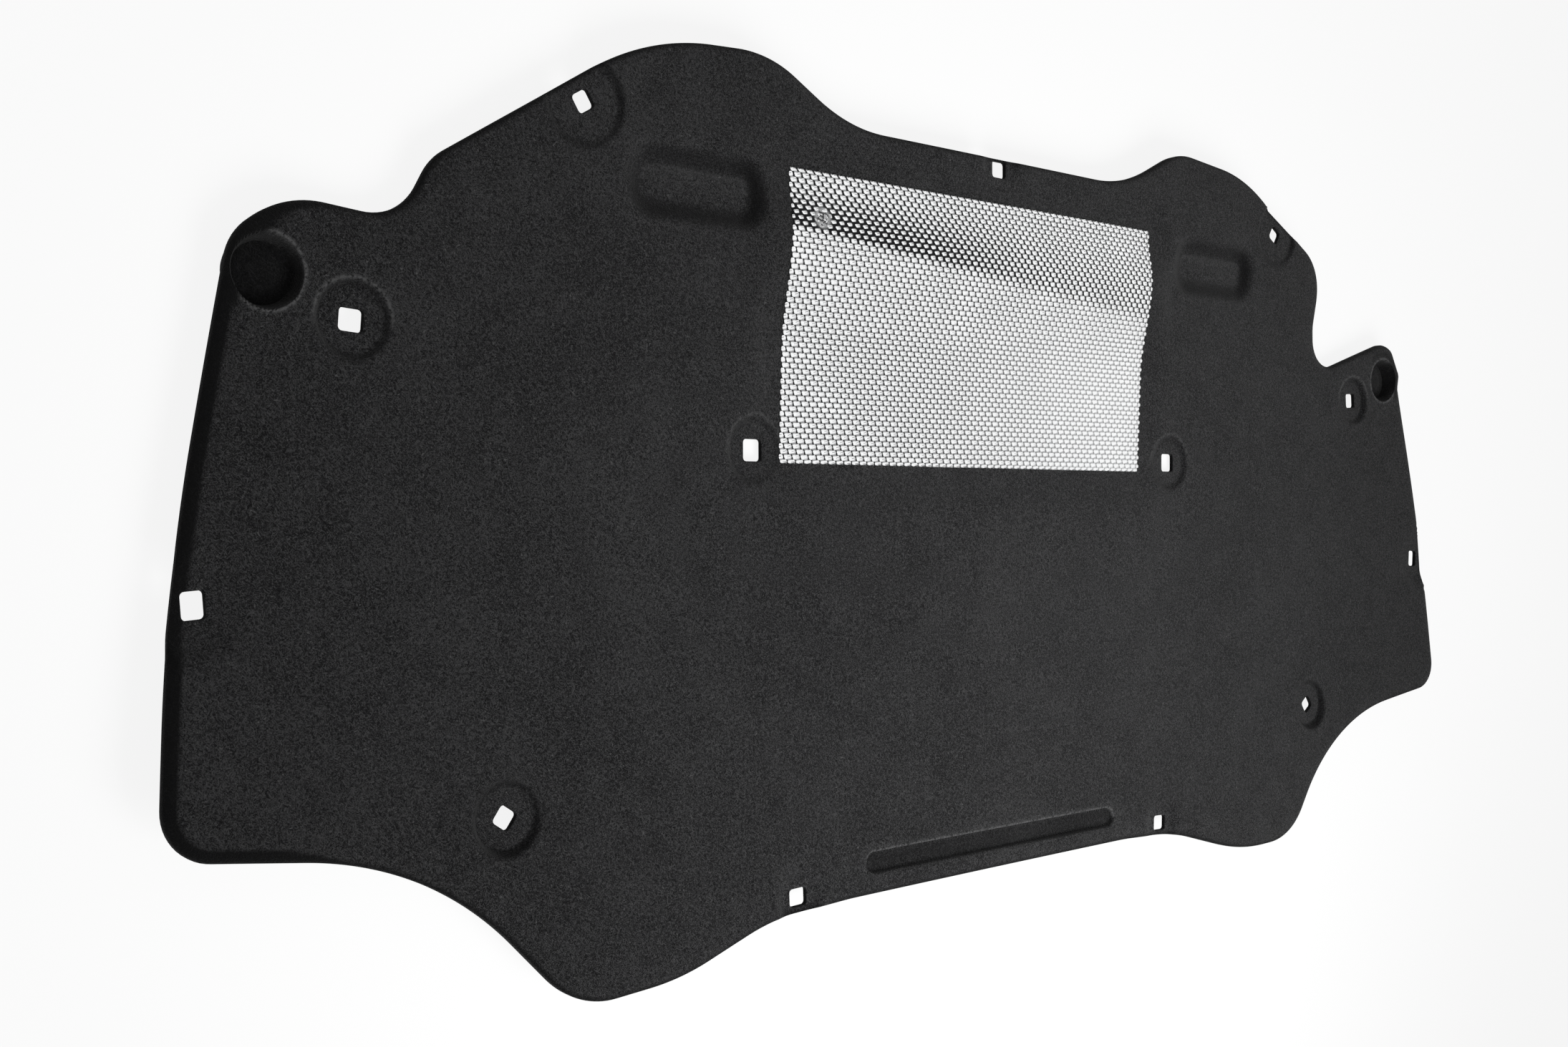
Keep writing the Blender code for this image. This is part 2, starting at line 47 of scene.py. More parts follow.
# The pad's drawing is in millimetres, in its own datum: +X across the car, +Y to the windscreen.
pad = {
    "leftCorners": (  # trimmed outline, clockwise from the nose: x, y, radius of the blend
        (-160, -313, 300), (-236, -316, 180), (-319, -341, 200), (-402, -344, 66),
        (-500, -236, 225), (-662, -212, 30), (-653, -65, 1400), (-618, 131, 36),
        (-586, 156, 60), (-515, 150, 36), (-495, 190, 40), (-341, 291, 195),
        (-241, 298, 100), (-162, 258, 150),
    ),
    "rightCorners": (  # on from the windscreen edge, with the deeper hinge notch
        (156, 258, 150), (227, 296, 75), (328, 288, 180), (467, 218, 45), (466, 184, 40),
        (462, 158, 40), (467, 111, 28), (586, 150, 28), (602, 143, 12), (617, 118, 8),
        (615, 104, 8), (658, -50, 900), (660, -210, 30), (489, -236, 235), (401, -341, 75),
        (322, -343, 220), (226, -315, 220), (160, -312, 300),
    ),
    "thickness": 7.0,
    "pressed": 3.5,          # thickness where the mould squeezes the felt hard
    "edgeRoll": 9.0,
    "halfWidth": 640.0,
    "halfDepth": 250.0,
    "sideRise": 15.0,
    "endRise": 12.5,
    "windscreenLift": 4.7,
    "noseLift": 8.8,
    "clipPairs": (           # x, y, turn in degrees, width, height; then its seat: radius, wall, strength of the painted shade on its ring, strength of the painted highlight on its rim
        (389, 241, -32, 13, 13, 26, 5, 0.55, 0.15), (240, 19, 0, 16, 16, 20, 6, 0.35, 0.35),
        (640, -76, -4, 13, 16, 19, 14, 0.0, 0.0), (447, -217, 35, 13, 13, 20, 5, 0.60, 0.10),
        (210, -304, -2, 15, 13, 14, 10, 0.0, 0.0),
    ),
    "singleClips": (
        (-545, 88, -4, 15, 14, 20, 5, 0.50, 0.75), (534, 88, 4, 15, 14, 20, 5, 0.50, 0.60),
        (0, 250, 0, 15, 13, 14, 10, 0.0, 0.0),
    ),
    "holeCorner": 2.5,
    "holeLip": 1.2,          # the punched edge is eased over this width
    "holeEase": 0.6,         # and by this share of it
    "cups": ((-597.0, 111.0), (586.0, 111.0)),   # the right ear is narrower
    "cupRadius": 21.5,
    "cupDepth": 12.0,
    "cupWall": 3.0,
    "dimpleRadius": 8.0,     # small raised pip in the cup's floor
    "dimpleRise": 1.0,
    "dimpleWall": 4.0,
    "pockets": ((-295.0, 198.0), (295.0, 198.0)),
    "pocketSize": (88.0, 21.0),
    "pocketCorner": 6.0,
    "pocketDepth": 7.0,
    "pocketWall": 20.0,
    "slotY": -289.5,
    "slotSize": (286.0, 14.0),
    "slotWall": 1.5,
    "sway": 0.35,            # slow unevenness of the felt's thickness
    "edgeBand": (2.5, 8.0),  # width of the painted shade along the rolled edge, and on the left side
    "edgeFade": 3.0,
    "leftSide": (-550.0, -600.0),   # where the left side's wider band sets in and is full
    "edgeShade": 0.95,       # strength of the painted shade, 0 to 1: here on the rolled edge, below in the recesses
    "pocketShade": 0.85,
    "pocketLit": 0.45,       # share of it on the walls that face the light
    # strength of the painted highlight along a pocket's rear wall
    "pocketHighlight": 0.4,
    "cupShade": 0.80,
    "cupEdge": (9.0, 5.0),   # nearer the trimmed edge than this, the cup's painted shade runs into the edge's
    "cupHalo": (5.0, 6.0),   # and reaches this far past the cup, fading out over the second number
    "slotShade": 0.55,
    "fieldStep": 6.5,
    "edgeStep": 3.5,
}

foil = {
    "middle": (-10.0, 116.5),
    "size": (413.0, 215.0),
    "gap": 0.3,              # glue line under the sheet
    "sheet": 0.35,           # level of the grooves above the glue line
    "ridgeY": 173.0,
    "ridgeRise": 8.0,
    "ridgeRear": 50.0,
    "ridgeFront": 78.0,
    "ridgeEnd": 30.0,
    "basinDepth": 3.0,
    "basinMargin": 8.0,
    "basinWall": 26.0,
    "bumpsAcross": 53,
    "rows": 55,
    "cutsAcross": 6,         # mesh cells in one bump's width
    "cutsAlong": 4,
    "undersideSpans": 6,
    "bumpRise": 1.1,
    "bumpSlope": (0.5, 0.55),    # where its side starts, as a share of its reach, and the side's width
    "lean": 0.45,            # sideways lean of a bump's ends, as a slope
    "tilt": 0.15,            # slope of its long sides
    "roundness": 4.2,        # power of the superellipse that outlines a bump
    "closedGap": (0.50, 0.40),   # gap between bumps where the sheet is pressed flat: across, along
    "openGap": (3.0, 1.15),      # and where it is widest
    "fold": (0.805, 0.651),  # height of the fold at the left and right ends, as a share of the width
    "dent": (3.7, 46.0),     # a crumpled spot, in bumps and rows from the corner
    "dentSize": (0.95, 1.9),
    "dentDepth": 0.6,
    "dentFlat": 0.6,         # share of a bump's height that the crumpling takes away
    "edgeCurl": 0.9,         # the trimmed edge turns down to the felt by this much
    "edgeLeast": 0.12,       # thickness that is left there
    "curlWidth": 4.0,
    "scallop": 1.0,          # the trim line dips in at each groove
}


def smoothStep(t):
    # 0 up to t = 0, 1 from t = 1, and 3 t^2 - 2 t^3 between
    t = np.clip(t, 0.0, 1.0)
    return t * t * (3.0 - 2.0 * t)


def mixed(a, b, share):
    return a + (b - a) * share


def crease(past, at, width):
    # bell curve across a line that lies a distance from a feature's edge
    return np.exp(-((past - at) / width) ** 2)


def allClips():
    # the pairs, their mirror images and the single ones
    mirrored = [(-x, y, -turn, *rest) for x, y, turn, *rest in pad["clipPairs"]]
    return list(pad["clipPairs"]) + mirrored + list(pad["singleClips"])


# Outlines

def blendedLoop(corners):
    # each corner becomes an arc whose centre lies on the corner's bisector, hypot(radius, reach) away
    arcs = []
    for index, (x, y, radius) in enumerate(corners):
        corner = np.array((x, y), float)
        before = np.array(corners[index - 1][:2], float) - corner
        after = np.array(corners[(index + 1) % len(corners)][:2], float) - corner
        longestReach = 0.95 * min(np.hypot(*before), np.hypot(*after))   # so that arcs keep apart
        before /= np.hypot(*before)
        after /= np.hypot(*after)
        halfTurn = 0.5 * (math.pi - math.acos(np.clip(before @ after, -1.0, 1.0)))
        radius = min(radius, longestReach / math.tan(halfTurn))
        reach = radius * math.tan(halfTurn)
        middle = (before + after) / np.hypot(*(before + after))
        centre = corner + middle * math.hypot(radius, reach)
        first = corner + before * reach - centre
        last = corner + after * reach - centre
        start = math.atan2(first[1], first[0])
        sweep = math.remainder(math.atan2(last[1], last[0]) - start, 2.0 * math.pi)
        angles = start + sweep * np.linspace(0.0, 1.0, 2 + math.ceil(radius * abs(sweep)))
        arcs.append(centre + radius * np.stack((np.cos(angles), np.sin(angles)), axis=1))
    return np.concatenate(arcs)


def evenLoop(loop, step):
    # the same loop with points at equal distances along it
    closed = np.vstack((loop, loop[:1]))
    travelled = np.concatenate(([0.0], np.cumsum(np.hypot(*np.diff(closed, axis=0).T))))
    at = np.linspace(0.0, travelled[-1], math.ceil(travelled[-1] / step), endpoint=False)
    return np.stack([np.interp(at, travelled, closed[:, axis]) for axis in (0, 1)], axis=1)


def boxLoop(box, offset, step):
    # a rounded box grown by offset, turned and moved into place; a circle is a box with full corners
    centre, (length, width), radius, turn = box
    x, y, radius = length / 2 + offset, width / 2 + offset, radius + offset
    corners = ((-x, -y), (x, -y), (x, y), (-x, y))
    loop = evenLoop(blendedLoop([(cx, cy, radius * 0.999) for cx, cy in corners]), step)
    c, s = math.cos(math.radians(turn)), math.sin(math.radians(turn))
    return loop @ np.array(((c, s), (-s, c))) + np.array(centre, float)


def boxDistance(points, box):
    # signed distance to the rounded box, negative inside
    centre, (length, width), radius, turn = box
    c, s = math.cos(math.radians(turn)), math.sin(math.radians(turn))
    local = (points - np.array(centre, float)) @ np.array(((c, -s), (s, c)))
    reach = np.abs(local) - (np.array((length, width)) / 2 - radius)
    outside = np.hypot(*np.maximum(reach, 0.0).T)
    return outside + np.minimum(reach.max(axis=1), 0.0) - radius


def circle(spot, radius):
    # a box is its middle, its size, the radius of its corners and its turn in degrees
    return (spot, (2 * radius, 2 * radius), radius, 0.0)


def inBlocks(work, points):
    # long lists of points go through in blocks, to save memory
    return np.concatenate([work(block) for block in np.array_split(points, 1 + len(points) // 1500)])


def loopDistance(points, loop):
    # distance to the nearest straight stretch of the loop
    along = np.roll(loop, -1, axis=0) - loop
    squared = np.maximum(np.sum(along * along, axis=1), 1e-9)

    def nearest(block):
        offset = block[:, None] - loop
        share = np.clip(np.sum(offset * along, axis=2) / squared, 0.0, 1.0)
        offset -= along * share[..., None]
        return np.sqrt(np.min(np.sum(offset * offset, axis=2), axis=1))

    return inBlocks(nearest, points)


def insideLoop(points, loop):
    # a point is inside when a line to its right crosses the loop an odd number of times
    after = np.roll(loop, -1, axis=0)
    rise = np.where(after[:, 1] == loop[:, 1], 1.0, after[:, 1] - loop[:, 1])

    def odd(block):
        x, y = block[:, :1], block[:, 1:]
        spans = (loop[:, 1] > y) != (after[:, 1] > y)
        crossing = loop[:, 0] + (y - loop[:, 1]) * (after[:, 0] - loop[:, 0]) / rise
        return np.sum(spans & (x < crossing), axis=1) % 2 == 1

    return inBlocks(odd, points)


# Heights of the two faces over the plan

def holeBoxes():
    return [(clip[:2], clip[3:5], pad["holeCorner"], clip[2]) for clip in allClips()]


def seats():
    # each seat's circle, the width of the wall round it, how dark its ring is painted as shade and how
    # bright its rim is painted as highlight
    return [(circle(clip[:2], clip[5]), *clip[6:]) for clip in allClips()]


def cupCircles():
    return [circle(spot, pad["cupRadius"]) for spot in pad["cups"]]


def pocketBoxes():
    return [(spot, pad["pocketSize"], pad["pocketCorner"], 0.0) for spot in pad["pockets"]]


def slotBox():
    return ((0.0, pad["slotY"]), pad["slotSize"], pad["slotSize"][1] / 2, 0.0)


def bow(x, y):
    # sideRise u^4 + endRise v^2 + windscreenLift v - noseLift u^2 v, with u = x/halfWidth, v = y/halfDepth
    u, v = x / pad["halfWidth"], y / pad["halfDepth"]
    dish = pad["sideRise"] * u**4 + pad["endRise"] * v**2
    return dish + pad["windscreenLift"] * v - pad["noseLift"] * u**2 * v


def foilRelief(points):
    # a cosine roll across the foil, in a basin that smooth steps let down round it
    x, y = points.T
    side = np.where(y > foil["ridgeY"], foil["ridgeRear"], foil["ridgeFront"])
    roll = 0.5 + 0.5 * np.cos(math.pi * np.clip((y - foil["ridgeY"]) / side, -1.0, 1.0))
    margin = foil["basinMargin"]
    pastEnd = np.abs(x - foil["middle"][0]) - foil["size"][0] / 2 - margin
    roll = foil["ridgeRise"] * roll * (1.0 - smoothStep(pastEnd / foil["ridgeEnd"]))
    basin = (foil["middle"], (foil["size"][0] + 2 * margin, foil["size"][1] + 2 * margin), margin, 0.0)
    return roll - foil["basinDepth"] * (1.0 - smoothStep(boxDistance(points, basin) / foil["basinWall"]))


def pocketRelief(points):
    # each pocket is let down by a smooth step over its wall's width
    relief = 0.0
    for box in pocketBoxes():
        share = 1.0 - smoothStep(boxDistance(points, box) / pad["pocketWall"])
        relief = relief - pad["pocketDepth"] * share
    return relief


def sway(points):
    # four slow waves in different directions, which fade to nothing at the trimmed edge
    x, y = points.T
    waves = np.sin(x / 31 + y / 47) + np.sin(x / 23 - y / 37 + 1.3) + np.sin(y / 29 + 0.4) * np.sin(x / 61)
    return pad["sway"] * (waves + 0.6 * np.sin(x / 83 + y / 19 + 2.1)) / 2.0


def padHeights(points, outline):
    # back: bow plus relief, level at the seats; front: the back plus a thickness that is pressed locally
    edge = loopDistance(points, outline)
    roll = np.clip(1.0 - edge / pad["edgeRoll"], 0.0, 1.0)
    thickness = mixed(pad["pressed"], pad["thickness"], np.sqrt(1.0 - roll * roll))
    thickness += sway(points) * smoothStep(edge / (2 * pad["edgeRoll"]))
    slotPast = boxDistance(points, slotBox())
    thickness = mixed(thickness, pad["pressed"], 1.0 - smoothStep(slotPast / pad["slotWall"]))
    back = bow(*points.T) + foilRelief(points) + pocketRelief(points)
    for seat, wall, *_ in seats():
        share = 1.0 - smoothStep(boxDistance(points, seat) / wall)
        back = mixed(back, bow(*seat[0]), share)
        thickness = mixed(thickness, pad["pressed"], share)
    for hole in holeBoxes():
        eased = np.clip(1.0 - boxDistance(points, hole) / pad["holeLip"], 0.0, 1.0)
        thickness = thickness - pad["holeLip"] * (1.0 - np.sqrt(1.0 - eased * eased)) * pad["holeEase"]
    front = back + thickness
    for cup in cupCircles():
        past = boxDistance(points, cup)
        floor = bow(*cup[0]) + pad["thickness"] - pad["cupDepth"]
        pastPip = past + cup[2] - pad["dimpleRadius"]
        pip = pad["dimpleRise"] * (1.0 - smoothStep(pastPip / pad["dimpleWall"]))
        share = 1.0 - smoothStep((past + pad["cupWall"]) / pad["cupWall"])
        front = mixed(front, floor + pip, share)
        back = mixed(back, floor - pad["pressed"], 1.0 - smoothStep(past / pad["cupWall"]))
    return front, back


def padTone(points, outline):
    # the painted shade, 0 to 1, is the largest of the darknesses painted on the rolled edge, walls,
    # recesses and cut edges;
    # the painted highlight is the largest of the bell curves of light painted along the rims
    edge = loopDistance(points, outline)
    # painted shade along the rolled edge, in a wider band on the left side
    leftFrom, leftTo = pad["leftSide"]
    band = mixed(*pad["edgeBand"], smoothStep((points[:, 0] - leftFrom) / (leftTo - leftFrom)))
    paintedShade = pad["edgeShade"] * (1.0 - smoothStep((edge - band) / pad["edgeFade"] + 0.5))
    paintedHighlight = np.zeros(len(points))
    for pocket in pocketBoxes():
        past = boxDistance(points, pocket)
        wall = np.sin(math.pi * np.clip((past + 1.0) / (pad["pocketWall"] - 3.0), 0.0, 1.0)) ** 0.8
        # painted shade on the walls, heavier on the nose wall and the right-hand wall, which lie in the lee
        # of the light
        toSide, toRear = ((points - pocket[0]) / (np.array(pocket[1]) / 2 + pad["pocketWall"] / 2)).T
        lee = smoothStep(0.5 + 0.9 * np.maximum(toSide**5, -toRear))
        paintedShade = np.maximum(paintedShade, mixed(pad["pocketLit"], 1.0, lee) * pad["pocketShade"] * wall)
        # a painted highlight along the foot of the rear wall
        rear = points[:, 1] > pocket[0][1]
        paintedHighlight = np.maximum(paintedHighlight, pad["pocketHighlight"] * crease(past, -1.2, 1.4) * rear)
    # painted shade on each seat's wall, and a painted highlight along the upper half of its rim
    for seat, width, ringShade, rim in seats():
        past = boxDistance(points, seat)
        wall = np.sin(math.pi * np.clip((past + 1.5) / (width + 2.5), 0.0, 1.0))
        paintedShade = np.maximum(paintedShade, ringShade * wall)
        above = smoothStep(0.5 + (points[:, 1] - seat[0][1]) / 20.0)
        paintedHighlight = np.maximum(paintedHighlight, rim * above * crease(past, width, 1.2))
    # painted shade inside each cup, which near the trimmed edge runs on into the edge's, and a painted
    # highlight on the rim away from that edge
    for cup in cupCircles():
        past = boxDistance(points, cup)
        paintedShade = np.maximum(paintedShade, pad["cupShade"] * (1.0 - smoothStep((past + 0.6) / 0.9)))
        outer = 1.0 - smoothStep((edge - pad["cupEdge"][0]) / pad["cupEdge"][1])
        halo = 1.0 - smoothStep((past - pad["cupHalo"][0]) / pad["cupHalo"][1])
        paintedShade = np.maximum(paintedShade, 0.9 * outer * halo)
        paintedHighlight = np.maximum(paintedHighlight, (1.0 - outer) * crease(past, 1.2, 1.0))
    # painted shade in the slot, and a painted highlight along its rear edge
    past = boxDistance(points, slotBox())
    paintedShade = np.maximum(paintedShade, pad["slotShade"] * (1.0 - smoothStep((past - 0.4) / 1.0)))
    paintedHighlight = np.maximum(paintedHighlight, crease(past, 1.7, 0.9) * (points[:, 1] > pad["slotY"]))
    # painted shade on the cut edges of the holes
    for hole in holeBoxes():
        paintedShade = np.where(boxDistance(points, hole) < 0.3, 1.0, paintedShade)
    return np.clip(paintedShade, 0.0, 1.0), np.clip(paintedHighlight, 0.0, 1.0)


# The felt's mesh

rings = {   # round each feature: distances of the rings from its edge, and the spacing along them
    "hole": ((0.5, 1.2), 1.3),
    "cup": ((3.5, 2.2, 1.2, 0.2, -0.8, -1.5, -2.3, -3.2, -5.5, -8.5, -11.0, -13.0, -15.5, -18.5), 2.4),
    "seat": ((-0.3, 0.0, 0.17, 0.35, 0.53, 0.7, 1.0, 1.4), 2.6),    # as shares of the wall's width
    "slot": ((-2.0, 0.0, 0.5, 1.0, 1.5, 3.0), 3.0),
    "pocket": ((-3.0, 0.0, 2.5, 5.0, 7.5, 10.0, 13.0, 16.5, 20.0), 4.5),
    "outline": (0.5, 1.3, 2.5, 4.2, 6.5, 9.0),
    "clearOfOutline": 0.4,
    "holeCut": 1.1,          # spacing along a hole's own edge
}


def hexGrid(low, high, step):
    # rows of points, every second row moved on by half a step, so that they make even triangles
    x, y = np.meshgrid(np.arange(low[0], high[0], step), np.arange(low[1], high[1], step * math.sqrt(0.75)))
    x = x + step / 2 * (np.arange(len(x)) % 2)[:, None]
    return np.stack((x.ravel(), y.ravel()), axis=1)


def boxPatch(box, offsets, step):
    # rings round a feature, and the band of distances that they fill
    around = np.concatenate([boxLoop(box, offset, step) for offset in offsets])
    return around, lambda points: boxDistance(points, box), min(offsets), max(offsets), step


def edgePatch(outline, offsets):
    # the outline carried inwards along its normals, less the points that a tight curve folds over
    tangent = np.roll(outline, -1, axis=0) - np.roll(outline, 1, axis=0)
    tangent /= np.hypot(*tangent.T)[:, None]
    inward = np.stack((tangent[:, 1], -tangent[:, 0]), axis=1)
    carried = (outline + inward * np.array(offsets)[:, None, None]).reshape(-1, 2)
    wanted = np.repeat(offsets, len(outline))
    carried = carried[loopDistance(carried, outline) > wanted - 0.05]
    return carried, lambda points: loopDistance(points, outline), 0.0, max(offsets), pad["edgeStep"]


def padPoints(outline, holes):
    # each patch's points are kept on the felt and outside the bands that earlier patches fill
    patches = [boxPatch(box, *rings["hole"]) for box in holeBoxes()]
    patches += [boxPatch(cup, *rings["cup"]) for cup in cupCircles()]
    shares, step = rings["seat"]
    patches += [boxPatch(seat, wall * np.array(shares), step) for seat, wall, *_ in seats()]
    patches += [edgePatch(outline, rings["outline"]), boxPatch(slotBox(), *rings["slot"])]
    patches += [boxPatch(box, *rings["pocket"]) for box in pocketBoxes()]
    field = hexGrid(outline.min(axis=0), outline.max(axis=0), pad["fieldStep"])
    patches.append((field, None, 0.0, 0.0, pad["fieldStep"]))
    kept = []
    for index, (points, _, _, _, step) in enumerate(patches):
        points = points[insideLoop(points, outline)]
        points = points[loopDistance(points, outline) > rings["clearOfOutline"]]
        for hole in holes:
            points = points[~insideLoop(points, hole)]
        for _, distance, low, high, _ in patches[:index]:
            past = distance(points)
            points = points[(past < low - 0.4 * step) | (past > high + 0.4 * step)]
        kept.append(points)
    return np.concatenate(kept)


def trimmedTriangles(points, loops):
    # Delaunay triangles that respect the loops, less those outside the first loop or in a later one
    sizes = [len(loop) for loop in loops]
    index = np.arange(sum(sizes))
    after = np.concatenate([np.roll(part, -1) for part in np.split(index, np.cumsum(sizes)[:-1])])
    links = np.stack((index, after), axis=1)
    allPoints = np.concatenate(loops + [points])
    placed, _, faces = delaunay_2d_cdt(allPoints.tolist(), links.tolist(), [], 0, 1e-6, False)[:3]
    placed, faces = np.array(placed), np.array(faces)
    corners = placed[faces]
    middles = corners.mean(axis=1)
    a, b = corners[:, 1] - corners[:, 0], corners[:, 2] - corners[:, 0]
    keep = insideLoop(middles, loops[0]) & (a[:, 0] * b[:, 1] - a[:, 1] * b[:, 0] > 1e-6)
    for loop in loops[1:]:
        keep &= ~insideLoop(middles, loop)
    return placed, faces[keep]


def rimOf(triangles, count):
    # an edge whose reverse belongs to no triangle lies on the rim
    edges = np.concatenate((triangles[:, :2], triangles[:, 1:], triangles[:, [2, 0]]))
    forward, backward = edges @ (count, 1), edges @ (1, count)
    return edges[~np.isin(forward, backward)]


def makeObject(name, vertices, faces, material):
    # shaded smooth, but sharp where two faces meet at more than 50 degrees
    mesh = bpy.data.meshes.new(name)
    mesh.from_pydata(vertices.tolist(), [], faces)
    mesh.validate()
    mesh.shade_smooth()
    mesh.set_sharp_from_angle(angle=math.radians(50))
    mesh.materials.append(material)
    item = bpy.data.objects.new(name, mesh)
    bpy.context.scene.collection.objects.link(item)
    return item


def makePad(material):
    # two faces over one plan of triangles, joined by walls round the outline and through the holes
    drawn = blendedLoop(pad["leftCorners"] + pad["rightCorners"])
    outline = evenLoop(drawn, pad["edgeStep"])
    holes = [boxLoop(box, 0.0, rings["holeCut"]) for box in holeBoxes()]
    plan, triangles = trimmedTriangles(padPoints(outline, holes), [outline] + holes)
    front, back = padHeights(plan, outline)
    count = len(plan)
    rim = rimOf(triangles, count)
    walls = np.column_stack((rim[:, 1], rim[:, 0], rim[:, 0] + count, rim[:, 1] + count))
    vertices = np.concatenate((np.column_stack((plan, front)), np.column_stack((plan, back))))
    cadLow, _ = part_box("felt_pad")
    shift = np.array(cadLow) / mm - vertices.min(axis=0)
    faces = triangles.tolist() + (triangles[:, ::-1] + count).tolist() + walls.tolist()
    item = makeObject("moulded_felt", (vertices + shift) * mm, faces, material)
    for name, values in zip(("paintedShade", "paintedHighlight"), padTone(plan, outline)):
        attribute = item.data.attributes.new(name, "FLOAT", "POINT")
        attribute.data.foreach_set("value", np.tile(values, 2).astype(np.float32))
    print("felt:", count, "points,", len(faces), "faces, moved by", shift.round(3).tolist())
    return item, outline, shift


# The foil's mesh

# The next four read u in bumps and v in rows, as arrays for the mesh or as wires for the material.

def gapShare(u, v, ramp):
    # 0 where the gaps between bumps are closed to 1 where they are widest: above the fold, on the left
    across, up = u / foil["bumpsAcross"], v / foil["rows"]
    past = up - (foil["fold"][0] + (foil["fold"][1] - foil["fold"][0]) * across)
    past = past / (1.0 - foil["fold"][0] + (foil["fold"][0] - foil["fold"][1]) * across)
    above = ramp(past, -0.16, 0.05)
    share = (1.0 - 0.70 * ramp(past, 0.05, 1.1)) * (1.0 - 0.42 * ramp(across, 0.15, 0.8))
    return above * share + (1.0 - above) * 0.16 * (1.0 - ramp(across, 0.45, 1.0))


def paintedLitCorner(u, v, ramp):
    # 1 at the nose corner on the right, where painted light makes the gaps only fine grey lines
    return ramp(u / foil["bumpsAcross"], 0.25, 0.95) * (1.0 - ramp(v / foil["rows"], 0.30, 0.75))


def dentShare(u, v, ramp):
    # 1 in the crumpled spot, fading out over an ellipse
    x = (u - foil["dent"][0]) / foil["dentSize"][0]
    y = (v - foil["dent"][1]) / foil["dentSize"][1]
    return 1.0 - ramp(x * x + y * y, 0.3, 1.6)


def inBump(u, v):
    # place from the middle of the nearest bump in mm; every second row moves on by half a bump
    row = v - v % 1.0
    across = ((u + 0.5 * (row % 2.0)) % 1.0 - 0.5) * (foil["size"][0] / foil["bumpsAcross"])
    return across, (v - row - 0.5) * (foil["size"][1] / foil["rows"])


def bumpReach(across, along, share):
    # superellipse distance on skewed axes from the middle of a bump, 1 at its foot, and its end part
    gapX = mixed(foil["closedGap"][0], foil["openGap"][0], share)
    gapY = mixed(foil["closedGap"][1], foil["openGap"][1], share * share)
    halfX = 0.5 * (foil["size"][0] / foil["bumpsAcross"] - gapX)
    halfY = 0.5 * (foil["size"][1] / foil["rows"] - gapY)
    power = foil["roundness"]
    ends = abs((across + foil["lean"] * along) / halfX)
    sides = abs((along - foil["tilt"] * across) / halfY)
    return (ends**power + sides**power) ** (1.0 / power), ends


def arrayRamp(value, low, high):
    # what Wire.step does with nodes
    return smoothStep((value - low) / (high - low))


def foilSurface(outline):
    # the felt's height, plus the glue line, the sheet, each bump and the dent, less the curl at the edge;
    # the bump is 1 on its crown and falls by a smooth step down its side
    columns, rows = foil["bumpsAcross"] * foil["cutsAcross"], foil["rows"] * foil["cutsAlong"]
    u, v = np.meshgrid(np.arange(columns + 1) / foil["cutsAcross"], np.arange(rows + 1) / foil["cutsAlong"])
    x = foil["middle"][0] + foil["size"][0] * (u / foil["bumpsAcross"] - 0.5)
    y = foil["middle"][1] + foil["size"][1] * (v / foil["rows"] - 0.5)
    reach, _ = bumpReach(*inBump(u, v), gapShare(u, v, arrayRamp))
    dent = dentShare(u, v, arrayRamp)
    crown, width = foil["bumpSlope"]
    bump = (1.0 - smoothStep((reach - crown) / width)) * (1.0 - foil["dentFlat"] * dent)
    inwardX = foil["size"][0] / 2 - np.abs(x - foil["middle"][0])
    inwardY = foil["size"][1] / 2 - np.abs(y - foil["middle"][1])
    side = 1.0 - smoothStep(inwardX / foil["curlWidth"])
    end = 1.0 - smoothStep(inwardY / foil["curlWidth"])
    x = x - np.sign(x - foil["middle"][0]) * foil["scallop"] * (1.0 - bump) * side
    y = y - np.sign(y - foil["middle"][1]) * foil["scallop"] * (1.0 - bump) * end
    base = feltUnder(x, y, outline) + foil["gap"]
    nearEdge = np.maximum(side, end)
    top = base + foil["sheet"] + foil["bumpRise"] * bump * (1.0 - 0.5 * nearEdge)
    top = top - foil["dentDepth"] * dent
    top = np.maximum(top + foil["edgeCurl"] * 0.6 - foil["edgeCurl"] * nearEdge, base + foil["edgeLeast"])
    return u, v, x, y, base, top


def foilFaces(shape):
    # quads on top; fewer below, in wide spans with fans at the two long edges; and a wall round the rim
    columns = shape[1] - 1
    span = columns // foil["undersideSpans"]
    index = np.arange(shape[0] * shape[1]).reshape(shape)
    shown = np.zeros(shape, bool)
    shown[:, ::span] = True
    shown[0], shown[-1] = True, True
    below = np.full(shape, -1)
    below[shown] = index.size + np.arange(shown.sum())
    faces = quadsOf(index).tolist()
    faces += quadsOf(below[1:-1, ::span])[:, ::-1].tolist()
    for first, second, turn in ((0, 1, 1), (-1, -2, -1)):
        starts = np.arange(0, columns, span)
        fine = below[first][starts[:, None] + np.arange(span + 1)]
        inner = below[second][::span]
        strip = np.column_stack((fine[:, ::-1], inner[:-1], inner[1:]))
        faces += strip[:, ::turn].tolist()
    rimTop, rimLow = rimLoop(index), rimLoop(below)
    faces += np.column_stack((np.roll(rimTop, -1), rimTop, rimLow, np.roll(rimLow, -1))).tolist()
    return faces, shown


def rimLoop(index):
    # round the grid's edge: first row, last column, last row and first column, each corner once
    return np.concatenate((index[0], index[1:, -1], index[-1, -2::-1], index[-2:0:-1, 0]))


